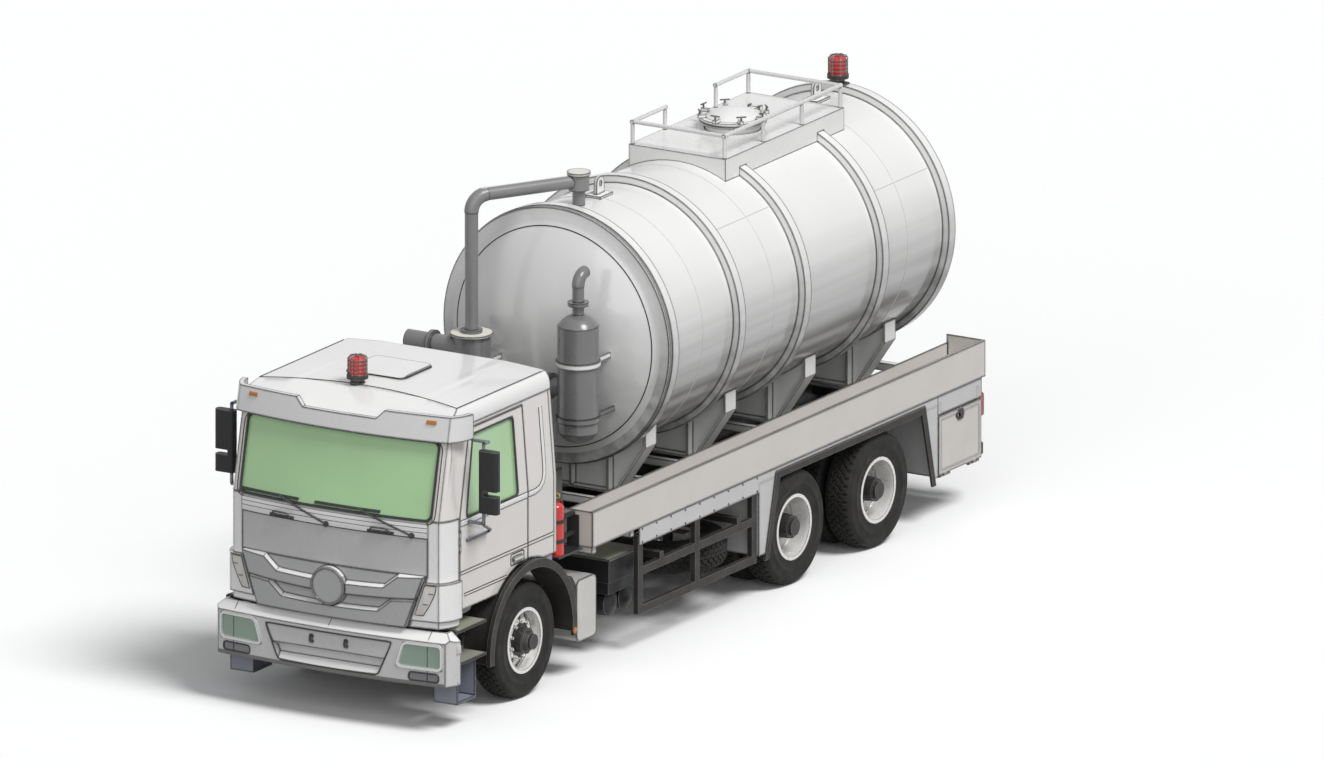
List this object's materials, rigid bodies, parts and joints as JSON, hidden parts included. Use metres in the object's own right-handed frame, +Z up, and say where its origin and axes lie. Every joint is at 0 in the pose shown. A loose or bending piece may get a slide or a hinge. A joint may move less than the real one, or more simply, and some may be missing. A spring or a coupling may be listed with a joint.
{
  "type": "three-axle vacuum tanker truck",
  "caption": "Vacuum tanker truck: forward control cab, ringed cylindrical tank on saddles, hose trays, top platform with manhole, steered front wheels and twin-tyred rear bogie.",
  "frame": {"origin": "on the ground at the middle of the overall length and width", "axes": "+X to the truck's left, +Y to its rear, +Z up"},
  "size_m": [2.95, 9.44, 4.0766],
  "materials": {
    "tank_white": "gloss",
    "cab_white": "gloss",
    "cab_beige": "gloss",
    "front_grey": "satin",
    "grille_grey": "satin",
    "body_grey": "satin",
    "frame_dark": "satin",
    "subframe_grey": "satin",
    "guard_dark": "satin",
    "step_blue": "satin",
    "plastic_dark": "matte",
    "tank_aluminium": "brushed",
    "cast_iron": "rough",
    "pipe_grey": "satin",
    "vessel_grey": "satin",
    "beacon_red": "gloss",
    "signal_red": "gloss",
    "glass_green": "clear",
    "lamp_glass": "clear",
    "interior_grey": "woven",
    "tyre_black": "matte",
    "rim_metal": "polished"
  },
  "bodies": {
    "chassis": {"frame_rails": "frame_dark", "cross_members": "frame_dark", "engine_gearbox": "cast_iron", "front_axle": "frame_dark", "rear_axles": "frame_dark", "bumper": "front_grey", "lamps": "lamp_glass", "entry_steps": "step_blue", "mudguard_trims": "plastic_dark", "rear_mudguards": "body_grey", "fuel_tanks": "tank_aluminium", "battery_box": "plastic_dark", "side_guards": "guard_dark", "spare_wheel": "tyre_black", "hose_trays": "body_grey", "tank_frame": "subframe_grey", "tank_shell": "tank_white", "platform": "tank_white", "vacuum_pipes": "pipe_grey", "vessels": "vessel_grey", "tank_beacon": "beacon_red", "fire_extinguisher": "signal_red", "toolboxes": "body_grey", "rear_bumper": "frame_dark", "tank_fittings": "pipe_grey", "cab_tub": "cab_beige", "cab_frame": "cab_beige", "cab_roof": "cab_white", "windscreen": "glass_green", "front_panel": "front_grey", "grille": "grille_grey", "corner_panels": "cab_white", "sun_visor": "cab_white", "wipers": "plastic_dark", "cab_interior": "interior_grey", "cab_seats": "interior_grey", "cab_beacon": "beacon_red"},
    "door_left": {"door_left": "cab_beige", "door_glass_left": "glass_green", "mirror_left": "plastic_dark"},
    "door_right": {"door_right": "cab_beige", "door_glass_right": "glass_green", "mirror_right": "plastic_dark"},
    "manhole_lid": {"manhole_lid": "tank_white"},
    "toolbox_door_left": {"toolbox_door_left": "body_grey"},
    "toolbox_door_right": {"toolbox_door_right": "body_grey"},
    "knuckle_left": {"knuckle_left": "cast_iron"},
    "knuckle_right": {"knuckle_right": "cast_iron"},
    "wheel_front_left": {"tyre_front_left": "tyre_black", "rim_front_left": "rim_metal"},
    "wheel_front_right": {"tyre_front_right": "tyre_black", "rim_front_right": "rim_metal"},
    "wheels_mid_left": {"tyres_mid_left": "tyre_black", "rims_mid_left": "rim_metal"},
    "wheels_mid_right": {"tyres_mid_right": "tyre_black", "rims_mid_right": "rim_metal"},
    "wheels_rear_left": {"tyres_rear_left": "tyre_black", "rims_rear_left": "rim_metal"},
    "wheels_rear_right": {"tyres_rear_right": "tyre_black", "rims_rear_right": "rim_metal"}
  },
  "joints": [
    {"name": "steer_left", "type": "hinge", "parent": "chassis", "child": "knuckle_left", "pos_m": [0.83, -3.16, 0.53], "axis": [0, 0, 1], "range_deg": [-36, 36]},
    {"name": "spin_front_left", "type": "hinge", "parent": "knuckle_left", "child": "wheel_front_left", "pos_m": [0.995, -3.16, 0.53], "axis": [1, 0, 0], "continuous": true},
    {"name": "spin_mid_left", "type": "hinge", "parent": "chassis", "child": "wheels_mid_left", "pos_m": [0.915, 1.34, 0.53], "axis": [1, 0, 0], "continuous": true},
    {"name": "spin_rear_left", "type": "hinge", "parent": "chassis", "child": "wheels_rear_left", "pos_m": [0.915, 2.79, 0.53], "axis": [1, 0, 0], "continuous": true},
    {"name": "door_left", "type": "hinge", "parent": "chassis", "child": "door_left", "pos_m": [1.15, -4.329, 1.5], "axis": [0, 0, -1], "range_deg": [0, 75]},
    {"name": "toolbox_left", "type": "hinge", "parent": "chassis", "child": "toolbox_door_left", "pos_m": [1.232, 4.13, 0.422], "axis": [0, 1, 0], "range_deg": [0, 105]},
    {"name": "steer_right", "type": "hinge", "parent": "chassis", "child": "knuckle_right", "pos_m": [-0.83, -3.16, 0.53], "axis": [0, 0, 1], "range_deg": [-36, 36]},
    {"name": "spin_front_right", "type": "hinge", "parent": "knuckle_right", "child": "wheel_front_right", "pos_m": [-0.995, -3.16, 0.53], "axis": [1, 0, 0], "continuous": true},
    {"name": "spin_mid_right", "type": "hinge", "parent": "chassis", "child": "wheels_mid_right", "pos_m": [-0.915, 1.34, 0.53], "axis": [1, 0, 0], "continuous": true},
    {"name": "spin_rear_right", "type": "hinge", "parent": "chassis", "child": "wheels_rear_right", "pos_m": [-0.915, 2.79, 0.53], "axis": [1, 0, 0], "continuous": true},
    {"name": "door_right", "type": "hinge", "parent": "chassis", "child": "door_right", "pos_m": [-1.15, -4.329, 1.5], "axis": [0, 0, 1], "range_deg": [0, 75]},
    {"name": "toolbox_right", "type": "hinge", "parent": "chassis", "child": "toolbox_door_right", "pos_m": [-1.232, 4.13, 0.422], "axis": [0, -1, 0], "range_deg": [0, 105]},
    {"name": "manhole", "type": "hinge", "parent": "chassis", "child": "manhole_lid", "pos_m": [0, 2.658, 3.933], "axis": [-1, 0, 0], "range_deg": [0, 100]}
  ],
  "couplings": [
    {"joint": "steer_right", "follows": "steer_left", "ratio": 1}
  ]
}
